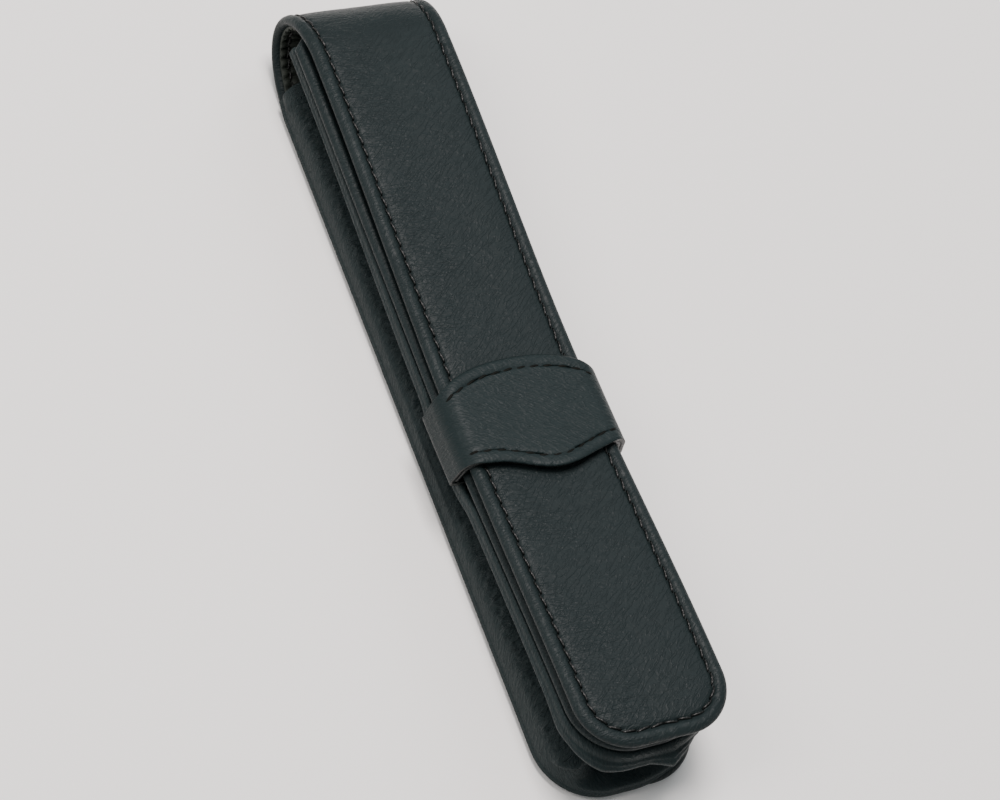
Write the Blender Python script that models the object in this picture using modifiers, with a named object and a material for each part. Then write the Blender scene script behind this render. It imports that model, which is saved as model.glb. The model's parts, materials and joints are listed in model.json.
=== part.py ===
"""Leather case for one fountain pen, lying on its back.

One long strap makes the back panel, folds over the mouth and comes down the front as a flap.
A front panel hangs between two V-folded sides cut from one gusset strip, and a keeper band
on the front panel holds the flap down.

Frame: X across the case, +Y towards the fold, +Z up. The origin is under the middle of the
case, on the face it rests on. Everything is in metres.
"""
import math

import bmesh
import bpy
from mathutils import Vector

MM = 0.001

# Overall sizes
LENGTH = 172.0 * MM               # rounded end of the back to the outside of the fold
BACK_WIDTH = 33.0 * MM
FLAP_MARGIN = 1.3 * MM            # the flap is narrower than the back by this on each side
FLAP_WIDTH = BACK_WIDTH - 2 * FLAP_MARGIN
FOLD_HEIGHT = 22.3 * MM           # outside of the flap above the table, at the fold
FOLD_REACH = 13.6 * MM            # how far the fold stands out beyond its centre line

# Layers of the strap
LEATHER = 1.0 * MM
LINING = 0.6 * MM
BOARD = 0.8 * MM
GLUE = 0.1 * MM                   # gap between two glued layers
HEM = 5.0 * MM                    # width of leather turned in round an edge
LINING_INSET = 1.9 * MM
BOARD_INSET = HEM + 0.3 * MM
TURN = 2 * LEATHER + GLUE         # thickness of a turned edge
STRAP = TURN + GLUE + LINING      # thickness of the whole strap

# Rounded ends
BACK_CORNER = 12.0 * MM
FLAP_CORNER = 10.5 * MM
FLAP_SHORTER = 0.6 * MM           # the flap stops this far short of the back's end
CORNER_STEPS = 5
STATION_STEP = 13.0 * MM          # spacing of the sections along the straight sides

# Seams
SEAM_INSET = 2.85 * MM
SEAM_DEPTH = 0.55 * MM
SEAM_WIDTH = 0.9 * MM
THREAD_RADIUS = 0.18 * MM

# The flap sags under the keeper and lifts towards its tip
SAG_DEPTH = 2.85 * MM
SAG_HEIGHT = FOLD_HEIGHT - SAG_DEPTH
SAG_Y = -2.0 * MM
TIP_LIFT = 1.8 * MM
TIP_HEIGHT = FOLD_HEIGHT + TIP_LIFT

# Front panel
FRONT_MARGIN = 0.7 * MM           # how far the front panel shows past the flap
FRONT_WIDTH = FLAP_WIDTH + 2 * FRONT_MARGIN
FRONT_CORNER = 11.0 * MM
FRONT_MOUTH_CORNER = 3.0 * MM
FRONT_SHORTER = 1.2 * MM
FLAP_GAP = 0.6 * MM               # air between the flap and the front panel
MOUTH_REACH = 4.0 * MM            # the front panel runs this far into the fold

# Gusset
GUSSET_MARGIN = 0.5 * MM
GUSSET_WIDTH = FRONT_WIDTH + 2 * GUSSET_MARGIN
GUSSET_CORNER = 11.5 * MM
GUSSET_LEATHER = 0.8 * MM
GUSSET_SHORTER = 0.4 * MM
GUSSET_SEAT = 0.15 * MM           # glue under the gusset's lower edge
VALLEY_DEPTH = 6.6 * MM
FLANGE = 1.9 * MM                 # thickness of the turned top edge
FLANGE_LIFT = 0.3 * MM            # gap between the flange and the front panel
SEAT = 1.9 * MM                   # thickness of the turned lower edge
SEAT_LIP = 0.8 * MM
HEM_WIDTH = 4.6 * MM
FLANGE_LIP = 1.9 * MM             # how far the flange stands out past the wall under it
MOUTH_HEM_SETBACK = 0.8 * MM

# Keeper band
KEEPER_LEATHER = 1.1 * MM
KEEPER_LINING = 0.8 * MM
KEEPER_CLEAR = 0.4 * MM
KEEPER_CENTRE = -14.5 * MM
KEEPER_LENGTH = 24.2 * MM         # along Y, over the middle of the flap
KEEPER_SIDE_LENGTH = 14.0 * MM    # along Y, at the sides
KEEPER_SIDE_SHIFT = -1.4 * MM     # the sides sit this much nearer the rounded end
KEEPER_TUCK = 4.5 * MM            # length of band under the front panel's edge
KEEPER_BEND = 2.4 * MM
KEEPER_SEAM_INSET = 2.2 * MM
TUCK_DIP = 1.4 * MM               # the gusset's flange gives way to the tucked ends
TUCK_OVERHANG = 2.4 * MM          # corners of a tucked end past the stretch it presses down
TUCK_RAMP = 7.0 * MM

# Hinge lines of the fold
HINGE_GAP = 0.3 * MM
UPPER_TURN = math.radians(67.5)

# Lengths and places that follow
HALF_LENGTH = LENGTH / 2
FOLD_RISE = FOLD_HEIGHT / 2
FOLD_Y = HALF_LENGTH - FOLD_REACH
FLAP_TIP_Y = -HALF_LENGTH + FLAP_SHORTER
FRONT_TIP_Y = -HALF_LENGTH + FRONT_SHORTER
GUSSET_TIP_Y = -HALF_LENGTH + GUSSET_SHORTER
MOUTH_Y = FOLD_Y + MOUTH_REACH
FLAP_SLOPE_START = FOLD_Y - 1.4 * MM     # the sag begins here


COLOURS = {
    "black_leather": (0.030, 0.038, 0.040, 1.0),
    "gusset_leather": (0.024, 0.031, 0.032, 1.0),
    "lining_leather": (0.045, 0.052, 0.052, 1.0),
    "stiffener_board": (0.33, 0.28, 0.22, 1.0),
    "waxed_thread": (0.012, 0.011, 0.010, 1.0),
}


def clear_scene():
    """Take every object out of the open scene."""
    for obj in list(bpy.data.objects):
        bpy.data.objects.remove(obj, do_unlink=True)


def new_collection(name):
    """Make a collection in the scene."""
    collection = bpy.data.collections.new(name)
    bpy.context.scene.collection.children.link(collection)
    return collection


def material(name, roughness):
    """A plain Principled material in one of the case's colours."""
    mat = bpy.data.materials.new(name)
    mat.use_nodes = True
    shader = mat.node_tree.nodes["Principled BSDF"]
    shader.inputs["Base Color"].default_value = COLOURS[name]
    shader.inputs["Roughness"].default_value = roughness
    shader.inputs["Metallic"].default_value = 0.0
    mat.diffuse_color = COLOURS[name]
    return mat


def add_mesh(name, points, faces, mat, pivot=(0.0, 0.0, 0.0)):
    """Make an object from points and faces, with its origin at pivot."""
    shift = Vector(pivot)
    mesh = bpy.data.meshes.new(name)
    mesh.from_pydata([Vector(point) - shift for point in points], [], faces)
    mesh.materials.append(mat)
    mesh.shade_smooth()
    mesh.set_sharp_from_angle(angle=math.radians(35))
    obj = bpy.data.objects.new(name, mesh)
    obj.location = shift
    case.objects.link(obj)
    return obj


# ---- Surfaces that the pieces follow ----

def smooth(value):
    """An S-shaped ramp from 0 to 1."""
    value = min(1.0, max(0.0, value))
    return value * value * (3 - 2 * value)


def flap_height(y):
    """Height of the flap's outside above the table."""
    if y > SAG_Y:
        share = (y - SAG_Y) / (FLAP_SLOPE_START - SAG_Y)
        return SAG_HEIGHT + (FOLD_HEIGHT - SAG_HEIGHT) * smooth(share)
    share = (SAG_Y - y) / (SAG_Y + HALF_LENGTH)
    return SAG_HEIGHT + (TIP_HEIGHT - SAG_HEIGHT) * smooth(share)


def front_height(y):
    """Height of the front panel's outside."""
    return flap_height(y) - STRAP - FLAP_GAP


def keeper_span(x):
    """The band's two edges along Y, which curve to be longest over the middle."""
    share = min(1.0, abs(x) / (FRONT_WIDTH / 2)) ** 2
    length = KEEPER_LENGTH + (KEEPER_SIDE_LENGTH - KEEPER_LENGTH) * share
    middle = KEEPER_CENTRE + KEEPER_SIDE_SHIFT * share
    return middle - length / 2, middle + length / 2


def tuck_reach():
    """Half the length of the stretch that the keeper's tucked ends press down."""
    wall = FRONT_WIDTH / 2 + KEEPER_CLEAR + KEEPER_LINING + GLUE
    low, high = keeper_span(wall - KEEPER_TUCK)
    middle = KEEPER_CENTRE + KEEPER_SIDE_SHIFT
    return max(high - middle, middle - low) - TUCK_OVERHANG


def tuck_dip(y):
    """How much the gusset's flange is pressed down by the keeper's tucked ends."""
    middle = KEEPER_CENTRE + KEEPER_SIDE_SHIFT
    beyond = abs(y - middle) - tuck_reach()
    return TUCK_DIP * smooth(1 - beyond / TUCK_RAMP)


def flange_height(y):
    """Height of the top of the gusset's flange, just under the front panel."""
    return front_height(y) - STRAP - FLANGE_LIFT - tuck_dip(y)


def back_inside_height(y):
    """Height of the back panel's inside, which starts to rise where the fold begins."""
    share = max(0.0, y - FOLD_Y) / (FOLD_REACH - STRAP)
    return FOLD_RISE - (FOLD_RISE - STRAP) * math.sqrt(1 - share * share)


def back_point(x, y, depth):
    """A point in the back panel, depth in from its outside."""
    return (x, y, depth)


def flap_point(x, y, depth):
    """A point in the flap, depth in from its outside."""
    return (x, y, flap_height(y) - depth)


def front_point(x, y, depth):
    """A point in the front panel, depth in from its outside."""
    return (x, y, front_height(y) - depth)


def fold_point(x, turn, depth):
    """A point in the fold: turn is 0 at the back panel and pi at the flap."""
    y = FOLD_Y + (FOLD_REACH - depth) * math.sin(turn)
    z = FOLD_RISE - (FOLD_RISE - depth) * math.cos(turn)
    return (x, y, z)


def fold_half_width(turn):
    """Half the strap's width, which narrows round the fold."""
    share = turn / math.pi
    return BACK_WIDTH / 2 + (FLAP_WIDTH - BACK_WIDTH) / 2 * share


# ---- Outlines ----

class Rim:
    """One place on the left-hand edge of a piece, and the way in from it."""

    def __init__(self, place, x, along, inward_x, inward_along):
        self.place = place
        self.x = x
        self.along = along
        self.inward_x = inward_x
        self.inward_along = inward_along

    def point(self, inset, depth, side):
        """The point inset from the edge and depth in from the outside."""
        x = self.x + self.inward_x * inset
        along = self.along + self.inward_along * inset
        return self.place(side * x, along, depth)


def corner_rims(place, half_width, tip, radius, towards):
    """A quarter circle from the side to the end; towards is -1 or 1 along Y."""
    rims = []
    for step in range(CORNER_STEPS + 1):
        angle = math.pi / 2 * step / CORNER_STEPS
        x = -half_width + radius - radius * math.cos(angle)
        y = tip - towards * radius + towards * radius * math.sin(angle)
        rims.append(Rim(place, x, y, math.cos(angle), -towards * math.sin(angle)))
    return rims


def side_rims(place, half_width, start, end, extra=()):
    """Rims down a straight side from start to just before end, at stations all pieces share."""
    count = int(HALF_LENGTH / STATION_STEP)
    stations = [STATION_STEP * number for number in range(-count, count + 1)] + list(extra)
    margin = STATION_STEP / 8
    between = [y for y in stations if end + margin < y < start - margin]
    return [Rim(place, -half_width, y, 1.0, 0.0) for y in [start] + sorted(between, reverse=True)]


def fold_rims(start, end, steps, width_of=fold_half_width):
    """Rims round part of the fold."""
    rims = []
    for step in range(steps + 1):
        turn = start + (end - start) * step / steps
        rims.append(Rim(fold_point, -width_of(turn), turn, 1.0, 0.0))
    return rims


# ---- Shapes swept along an outline ----

def sweep(name, rims, section, mat, wrap_start, wrap_end, filled=True, pivot=(0, 0, 0)):
    """Carry a section of (inset, depth) points round a piece and its mirror image.

    With filled, the first and last points of the section are joined straight across the
    piece. A wrapped end turns the corner to the other side; another end is cut square.
    section may be a function of the rim.
    """
    points = []
    width = 0
    for side in (1, -1):
        for rim in rims:
            outline = section(rim) if callable(section) else section
            width = len(outline)
            points += [rim.point(inset, depth, side) for inset, depth in outline]
    count = len(rims)

    def left(row, ring):
        return row * width + ring

    def right(row, ring):
        return (count + row) * width + ring

    faces = []
    rings = width - 1 if filled else width
    for row in range(count - 1):
        for ring in range(rings):
            after = (ring + 1) % width
            faces.append((left(row, ring), left(row + 1, ring), left(row + 1, after), left(row, after)))
            faces.append((right(row, ring), right(row, after), right(row + 1, after), right(row + 1, ring)))
        if filled:
            last = width - 1
            faces.append((left(row, 0), right(row, 0), right(row + 1, 0), left(row + 1, 0)))
            faces.append((left(row, last), left(row + 1, last), right(row + 1, last), right(row, last)))
    for row, wrapped, flip in ((0, wrap_start, True), (count - 1, wrap_end, False)):
        if wrapped:
            new = []
            for ring in range(rings):
                after = (ring + 1) % width
                new.append((left(row, ring), right(row, ring), right(row, after), left(row, after)))
        elif filled:
            new = [[left(row, ring) for ring in range(width)]
                   + [right(row, ring) for ring in reversed(range(width))]]
            flip = not flip
        else:
            new = [[left(row, ring) for ring in range(width)],
                   [right(row, ring) for ring in reversed(range(width))]]
            flip = not flip
        faces += [tuple(reversed(face)) for face in new] if flip else [tuple(face) for face in new]
    obj = add_mesh(name, points, faces, mat, pivot)
    make_normals_face_out(obj)
    return obj


def make_normals_face_out(obj):
    """Turn all faces of a closed mesh outwards."""
    mesh = bmesh.new()
    mesh.from_mesh(obj.data)
    bmesh.ops.recalc_face_normals(mesh, faces=mesh.faces)
    mesh.to_mesh(obj.data)
    mesh.free()


def turned_edge_section():
    """Leather with its edge turned in, a sunk seam line on the outside."""
    radius = TURN / 2
    groove_start = SEAM_INSET - SEAM_WIDTH / 2
    groove_end = SEAM_INSET + SEAM_WIDTH / 2
    section = [
        (HEM, 0.0),
        (groove_end, 0.0),
        (groove_end - GLUE, SEAM_DEPTH),
        (groove_start + GLUE, SEAM_DEPTH),
        (groove_start, 0.0),
    ]
    for step in range(5):
        angle = math.pi * step / 4
        section.append((radius - radius * math.sin(angle), radius - radius * math.cos(angle)))
    section += [
        (HEM, TURN),
        (HEM, LEATHER + GLUE),
        (radius, LEATHER + GLUE),
        (radius, LEATHER),
        (HEM, LEATHER),
    ]
    return section


def plate(name, rims, inset, depth, thickness, mat, pivot=(0, 0, 0)):
    """A flat layer inset from the outline: a strip surface with a Solidify modifier."""
    points = []
    for rim in rims:
        points.append(rim.point(inset, depth, 1))
        points.append(rim.point(inset, depth, -1))
    faces = []
    for row in range(len(rims) - 1):
        first = 2 * row
        faces.append((first, first + 2, first + 3, first + 1))
    obj = add_mesh(name, points, faces, mat, pivot)
    solidify = obj.modifiers.new("thickness", "SOLIDIFY")
    solidify.thickness = thickness
    solidify.offset = -1.0 if facing_out(rims[0], rims[1]) else 1.0
    solidify.use_even_offset = True
    return obj


def facing_out(first, second):
    """Whether a strip's own faces look away from the inside of the strap."""
    corner = Vector(first.point(0, 0, 1))
    ahead = Vector(second.point(0, 0, 1)) - corner
    across = Vector(first.point(0, 0, -1)) - corner
    inside = Vector(first.point(0, LEATHER, 1)) - corner
    return ahead.cross(across).dot(inside) < 0


def thread(name, points, mat, pivot=(0, 0, 0)):
    """A thread as a curve with a round bevel and filled ends."""
    shift = Vector(pivot)
    curve = bpy.data.curves.new(name, "CURVE")
    curve.dimensions = "3D"
    curve.bevel_depth = THREAD_RADIUS
    curve.bevel_resolution = 1
    curve.use_fill_caps = True
    spline = curve.splines.new("POLY")
    spline.points.add(len(points) - 1)
    for slot, point in zip(spline.points, points):
        slot.co = (*(Vector(point) - shift), 1.0)
    curve.materials.append(mat)
    obj = bpy.data.objects.new(name, curve)
    obj.location = shift
    case.objects.link(obj)
    return obj


def seam_points(rims, gap_at_start=0.0):
    """The thread's line round a piece, in the middle of its sunk seam."""
    depth = SEAM_DEPTH / 2
    left = [rim.point(SEAM_INSET, depth, 1) for rim in rims]
    right = [rim.point(SEAM_INSET, depth, -1) for rim in reversed(rims)]
    return left + right


# ---- The strap: back panel, fold and flap ----

def lower_turn():
    """Where the first hinge line lies, so that the chord to the next one slopes at 45 degrees."""
    rise = FOLD_REACH * math.sin(UPPER_TURN) + FOLD_RISE * math.cos(UPPER_TURN)
    size = math.hypot(FOLD_REACH, FOLD_RISE)
    return math.asin(rise / size) - math.atan2(FOLD_RISE, FOLD_REACH)


def hinge_turns():
    """The four hinge lines round the fold."""
    first = lower_turn()
    return [first, UPPER_TURN, math.pi - UPPER_TURN, math.pi - first]


def half_gap_turn(turn):
    """Half the gap between two fold pieces, as a turn."""
    slope_y = FOLD_REACH * math.cos(turn)
    slope_z = FOLD_RISE * math.sin(turn)
    return HINGE_GAP / 2 / math.hypot(slope_y, slope_z)


def build_strap(leather, lining, board, thread_mat):
    """Back panel, three fold pieces and flap, each with its lining."""
    turns = hinge_turns()
    pivots = [fold_point(0.0, turn, 0.0) for turn in turns]
    section = turned_edge_section()
    lining_depth = STRAP - LINING

    # Back panel, up to the first hinge line
    half = BACK_WIDTH / 2
    corner = corner_rims(back_point, half, -HALF_LENGTH, BACK_CORNER, -1)
    rise = fold_rims(turns[0] - half_gap_turn(turns[0]), 0.0, 2)
    straight = [Rim(back_point, -half, 0.0, 1.0, 0.0)]
    rims = rise + straight + corner
    sweep("back_leather", rims, section, leather, False, True)
    plate("back_lining", rims, LINING_INSET, lining_depth, LINING, lining)
    flat = [Rim(back_point, -half, FOLD_Y, 1.0, 0.0)] + straight + corner
    plate("back_board", flat, BOARD_INSET, LEATHER + GLUE, BOARD, board)
    thread("back_thread", seam_points(rims), thread_mat)

    # The fold
    for index in range(3):
        start = turns[index] + half_gap_turn(turns[index])
        end = turns[index + 1] - half_gap_turn(turns[index + 1])
        rims = fold_rims(start, end, 4)
        number = index + 1
        sweep(f"fold_leather_{number}", rims, section, leather, False, False, pivot=pivots[index])
        plate(f"fold_lining_{number}", rims, LINING_INSET, lining_depth, LINING, lining, pivots[index])

    # Flap, from the last hinge line to its rounded tip
    half = FLAP_WIDTH / 2
    fall = fold_rims(turns[3] + half_gap_turn(turns[3]), math.pi, 2)[:-1]
    corner = corner_rims(flap_point, half, FLAP_TIP_Y, FLAP_CORNER, -1)
    side = side_rims(flap_point, half, FOLD_Y, corner[0].along)
    rims = fall + side + corner
    sweep("flap_leather", rims, section, leather, False, True, pivot=pivots[3])
    plate("flap_lining", rims, LINING_INSET, lining_depth, LINING, lining, pivots[3])
    plate("flap_board", side + corner, BOARD_INSET, LEATHER + GLUE, BOARD, board, pivots[3])
    thread("flap_thread", seam_points(rims), thread_mat, pivots[3])


# ---- The front panel ----

def build_front(leather, lining, board, thread_mat):
    """Front panel with a rounded end and a straight mouth edge."""
    half = FRONT_WIDTH / 2
    mouth = list(reversed(corner_rims(front_point, half, MOUTH_Y, FRONT_MOUTH_CORNER, 1)))
    corner = corner_rims(front_point, half, FRONT_TIP_Y, FRONT_CORNER, -1)
    side = side_rims(front_point, half, mouth[-1].along, corner[0].along)
    rims = mouth[:-1] + side + corner
    # At the small mouth corners the inset corners would cross, so they are drawn square
    inner = [Rim(front_point, -half, MOUTH_Y - HEM, 1.0, 0.0)] + side[1:] + corner
    section = turned_edge_section()
    sweep("front_leather", squared(rims, len(mouth)), section, leather, True, True)
    lined = [Rim(front_point, -half, MOUTH_Y - LINING_INSET, 1.0, 0.0)] + side[1:] + corner
    plate("front_lining", lined, LINING_INSET, STRAP - LINING, LINING, lining)
    plate("front_board", inner_start(inner), BOARD_INSET, LEATHER + GLUE, BOARD, board)
    seam = [Rim(front_point, -half, MOUTH_Y - SEAM_INSET, 1.0, 0.0)] + side[1:] + corner
    thread("front_thread", seam_points(seam), thread_mat)


class CornerRim(Rim):
    """A rim on a corner whose radius is smaller than the deepest inset."""

    def point(self, inset, depth, side):
        along = self.along + self.inward_along * inset
        x = self.x + self.inward_x * inset
        over = max(0.0, inset - FRONT_MOUTH_CORNER + GLUE)
        if over > 0:
            reach = inset - over
            x = self.x + self.inward_x * reach + over
            along = self.along + self.inward_along * reach - over
        return self.place(side * x, along, depth)


def squared(rims, count):
    """Replace the first rims with corner rims that never cross."""
    corners = []
    for rim in rims[:count - 1]:
        corners.append(CornerRim(rim.place, rim.x, rim.along, rim.inward_x, rim.inward_along))
    start = rims[count - 1]
    corners.append(CornerRim(start.place, start.x, start.along, 1.0, 0.0))
    return corners + rims[count:]


def inner_start(rims):
    """Move the first rim in, so that the board clears the turned mouth edge."""
    first = rims[0]
    moved = Rim(first.place, first.x, MOUTH_Y - BOARD_INSET, 1.0, 0.0)
    return [moved] + rims[1:]


# ---- The gusset ----

def offset_line(line, distance):
    """Move an open line of (inset, height) points sideways, with mitred corners."""
    moved = []
    for index, point in enumerate(line):
        before = line[max(0, index - 1)]
        after = line[min(len(line) - 1, index + 1)]
        normals = []
        for start, end in ((before, point), (point, after)):
            step = (end[0] - start[0], end[1] - start[1])
            size = math.hypot(*step)
            if size > 0:
                normals.append((step[1] / size, -step[0] / size))
        mean = (sum(n[0] for n in normals), sum(n[1] for n in normals))
        size = math.hypot(*mean)
        mean = (mean[0] / size, mean[1] / size)
        share = distance / (mean[0] * normals[0][0] + mean[1] * normals[0][1])
        moved.append((point[0] + mean[0] * share, point[1] + mean[1] * share))
    return moved


def gusset_walls(y):
    """The outside of the V fold at one place: its lower corner, valley and upper corner."""
    lower = back_inside_height(y) + GUSSET_SEAT + SEAT
    upper = flange_height(y) - FLANGE
    return [(SEAT_LIP, lower), (VALLEY_DEPTH, (lower + upper) / 2), (FLANGE_LIP, upper)]


def gusset_line(y):
    """The outside of the gusset at one place: turned lower hem, V fold and turned flange."""
    floor = back_inside_height(y) + GUSSET_SEAT
    top = flange_height(y)
    lower_hem = [(HEM_WIDTH, floor), (SEAT_LIP, floor), (SEAT_LIP - SEAT / 4, floor + SEAT / 2)]
    flange = [(FLANGE / 4, top - FLANGE), (0.0, top - FLANGE / 2), (FLANGE / 4, top), (HEM_WIDTH, top)]
    return lower_hem + gusset_walls(y) + flange


def gusset_sheet(line, start, thickness):
    """A closed section between two offsets from a line."""
    return offset_line(line, start) + list(reversed(offset_line(line, start + thickness)))


def gusset_point(x, y, height):
    """Gusset sections already hold heights above the table."""
    return (x, y, height)


def build_gusset(leather):
    """One strip round the left side, the rounded end and the right side."""
    half = GUSSET_WIDTH / 2
    top = MOUTH_Y - MOUTH_HEM_SETBACK
    corner = corner_rims(gusset_point, half, GUSSET_TIP_Y, GUSSET_CORNER, -1)
    middle = KEEPER_CENTRE + KEEPER_SIDE_SHIFT
    reach = tuck_reach()
    outs = (reach, reach + TUCK_RAMP / 2, reach + TUCK_RAMP)
    ramps = [middle + way * out for way in (-1, 1) for out in outs]
    side = side_rims(gusset_point, half, top, corner[0].along, ramps)
    rims = side + corner

    def leather_section(rim):
        return gusset_sheet(gusset_line(rim.along), 0.0, GUSSET_LEATHER)

    sweep("gusset_leather", rims, leather_section, leather, False, True, filled=False)


# ---- The keeper ----

def keeper_line(clear, tuck):
    """The inside of a keeper layer from its left end to its right end.

    Each entry is an x place, a height, and which surface that height is counted from:
    1 for the flap's outside and 0 for the front panel's underside.
    """
    wall = FRONT_WIDTH / 2 + KEEPER_CLEAR + clear
    radius = KEEPER_BEND + clear
    left = []
    if tuck:
        left.append((-wall + KEEPER_TUCK, -2 * GLUE, 0))
        left.append((-wall + 0.5 * MM, -2 * GLUE, 0))
    left.append((-wall, 0.4 * MM, 0))
    left.append((-wall, KEEPER_CLEAR + clear - radius, 1))
    for angle in (30, 60):
        turn = math.radians(angle)
        x = -wall + radius - radius * math.cos(turn)
        z = KEEPER_CLEAR + clear - radius + radius * math.sin(turn)
        left.append((x, z, 1))
    top = KEEPER_CLEAR + clear
    for share in (0.0, 0.25, 0.5, 0.75):
        left.append(((-wall + radius) * (1 - share), top, 1))
    right = [(-x, z, which) for x, z, which in reversed(left)]
    return left + [(0.0, top, 1)] + right


def keeper_point(entry, across):
    """A point on a keeper line; across is 0 at the lower edge and 1 at the upper one."""
    x, height, which = entry
    low, high = keeper_span(x)
    y = low + (high - low) * across
    base = flap_height(y) if which else front_height(y) - STRAP
    return (x, y, base + height)


def keeper_layer(name, line, thickness, mat):
    """One layer of the band as a surface with thickness added on its outside."""
    rows = 4
    points = [keeper_point(entry, row / rows) for entry in line for row in range(rows + 1)]
    faces = []
    for column in range(len(line) - 1):
        for row in range(rows):
            first = column * (rows + 1) + row
            second = first + rows + 1
            faces.append((first, second, second + 1, first + 1))
    obj = add_mesh(name, points, faces, mat)
    solidify = obj.modifiers.new("thickness", "SOLIDIFY")
    solidify.thickness = thickness
    solidify.offset = 1.0
    solidify.use_even_offset = True
    return obj


def keeper_thread(name, line, from_high, mat):
    """A stitch row that follows one curved edge, lying on the leather."""
    lift = KEEPER_LEATHER + THREAD_RADIUS + GLUE
    points = []
    for x, height, which in line:
        low, high = keeper_span(x)
        y = high - KEEPER_SEAM_INSET if from_high else low + KEEPER_SEAM_INSET
        points.append((x, y, flap_height(y) + height + lift))
    return thread(name, points, mat)


def build_keeper(leather, lining, thread_mat):
    """A lined band over the flap, its ends tucked under the front panel."""
    inner = keeper_line(0.0, False)
    outer = keeper_line(KEEPER_LINING + GLUE, True)
    keeper_layer("keeper_lining", inner, KEEPER_LINING, lining)
    keeper_layer("keeper_leather", outer, KEEPER_LEATHER, leather)
    top = [entry for entry in outer if entry[1] >= KEEPER_CLEAR + KEEPER_LINING and entry[2]]
    keeper_thread("keeper_thread_upper", top, True, thread_mat)
    keeper_thread("keeper_thread_lower", top, False, thread_mat)


clear_scene()
case = new_collection("fountain_pen_case")
black_leather = material("black_leather", 0.5)
gusset_leather = material("gusset_leather", 0.55)
lining_leather = material("lining_leather", 0.7)
stiffener_board = material("stiffener_board", 0.9)
waxed_thread = material("waxed_thread", 0.5)

build_strap(black_leather, lining_leather, stiffener_board, waxed_thread)
build_front(black_leather, lining_leather, stiffener_board, waxed_thread)
build_gusset(gusset_leather)
build_keeper(black_leather, lining_leather, waxed_thread)
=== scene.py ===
import json
import math
import random

import bpy
import numpy as np
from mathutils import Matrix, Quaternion, Vector, noise

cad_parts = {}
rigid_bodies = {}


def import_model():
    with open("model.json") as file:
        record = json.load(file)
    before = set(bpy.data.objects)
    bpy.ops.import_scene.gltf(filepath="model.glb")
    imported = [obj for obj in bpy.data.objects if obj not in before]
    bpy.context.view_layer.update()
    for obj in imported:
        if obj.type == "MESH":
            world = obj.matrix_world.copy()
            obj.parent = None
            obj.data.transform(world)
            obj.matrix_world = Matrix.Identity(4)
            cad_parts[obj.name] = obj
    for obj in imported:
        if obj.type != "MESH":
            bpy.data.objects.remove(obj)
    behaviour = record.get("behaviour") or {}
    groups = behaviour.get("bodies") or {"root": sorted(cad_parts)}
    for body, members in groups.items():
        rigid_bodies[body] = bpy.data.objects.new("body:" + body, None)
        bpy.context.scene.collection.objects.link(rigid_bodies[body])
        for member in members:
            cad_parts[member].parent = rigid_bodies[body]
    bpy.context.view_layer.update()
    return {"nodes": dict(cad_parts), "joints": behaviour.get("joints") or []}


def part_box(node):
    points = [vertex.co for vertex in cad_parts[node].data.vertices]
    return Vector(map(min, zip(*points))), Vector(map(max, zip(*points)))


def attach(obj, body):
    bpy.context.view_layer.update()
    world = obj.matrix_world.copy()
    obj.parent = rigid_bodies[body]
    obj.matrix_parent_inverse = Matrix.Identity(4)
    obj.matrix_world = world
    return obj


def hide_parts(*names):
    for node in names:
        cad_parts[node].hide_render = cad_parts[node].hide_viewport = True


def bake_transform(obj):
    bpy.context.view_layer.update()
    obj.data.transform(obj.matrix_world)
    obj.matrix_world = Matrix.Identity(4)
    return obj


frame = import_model()

# ==== Camera ====
# A long lens looks down on the case from its left front, about 0.66 m away, and is turned
# so that the case runs up the frame with its fold at the top.
MM = 0.001
AIM = Vector((-0.6, -6.1, 12.0)) * MM
VIEW_AZIMUTH = math.radians(-47.0)
VIEW_ELEVATION = math.radians(56.2)
VIEW_ROLL = math.radians(30.2)
VIEW_DISTANCE = 660.4 * MM
LENS = 121.3

camera_data = bpy.data.cameras.new("view")
camera_data.lens = LENS
camera_data.sensor_width = 36.0
camera_data.clip_start = 0.05
camera_data.clip_end = 20.0
camera = bpy.data.objects.new("view", camera_data)
bpy.context.scene.collection.objects.link(camera)
towards_camera = Vector((
    math.sin(VIEW_AZIMUTH) * math.cos(VIEW_ELEVATION),
    -math.cos(VIEW_AZIMUTH) * math.cos(VIEW_ELEVATION),
    math.sin(VIEW_ELEVATION),
))
camera.location = AIM + towards_camera * VIEW_DISTANCE
camera.rotation_mode = "QUATERNION"
level = (-towards_camera).to_track_quat("-Z", "Y")
camera.rotation_quaternion = level @ Quaternion((0.0, 0.0, 1.0), VIEW_ROLL)
bpy.context.scene.camera = camera


# ==== Table and studio light ====
# A matt white laminate table stands under one soft light, with a dimmer window to the left
# and a dim fill to the right, both a little behind the fold. Pale walls light the rest.
def linear(hex_colour):
    """sRGB hex, such as 313839, as linear red, green, blue and 1."""
    values = [int(hex_colour[place:place + 2], 16) / 255 for place in (0, 2, 4)]
    return tuple(v / 12.92 if v <= 0.04045 else ((v + 0.055) / 1.055) ** 2.4 for v in values) + (1.0,)


def set_inputs(tree, node, inputs):
    """Link or set a node's inputs by name or number."""
    for name, value in inputs.items():
        if isinstance(value, bpy.types.NodeSocket):
            tree.links.new(value, node.inputs[name])
        else:
            node.inputs[name].default_value = value


def add_node(tree, kind, inputs=None, **settings):
    """Add a shader node with its settings, then link or set its inputs."""
    node = tree.nodes.new("ShaderNode" + kind)
    for name, value in settings.items():
        setattr(node, name, value)
    set_inputs(tree, node, inputs or {})
    return node


def new_material(name):
    """An empty material with a Principled shader; returns material, tree and shader."""
    mat = bpy.data.materials.new(name)
    mat.use_nodes = True
    tree = mat.node_tree
    return mat, tree, tree.nodes["Principled BSDF"]


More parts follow.
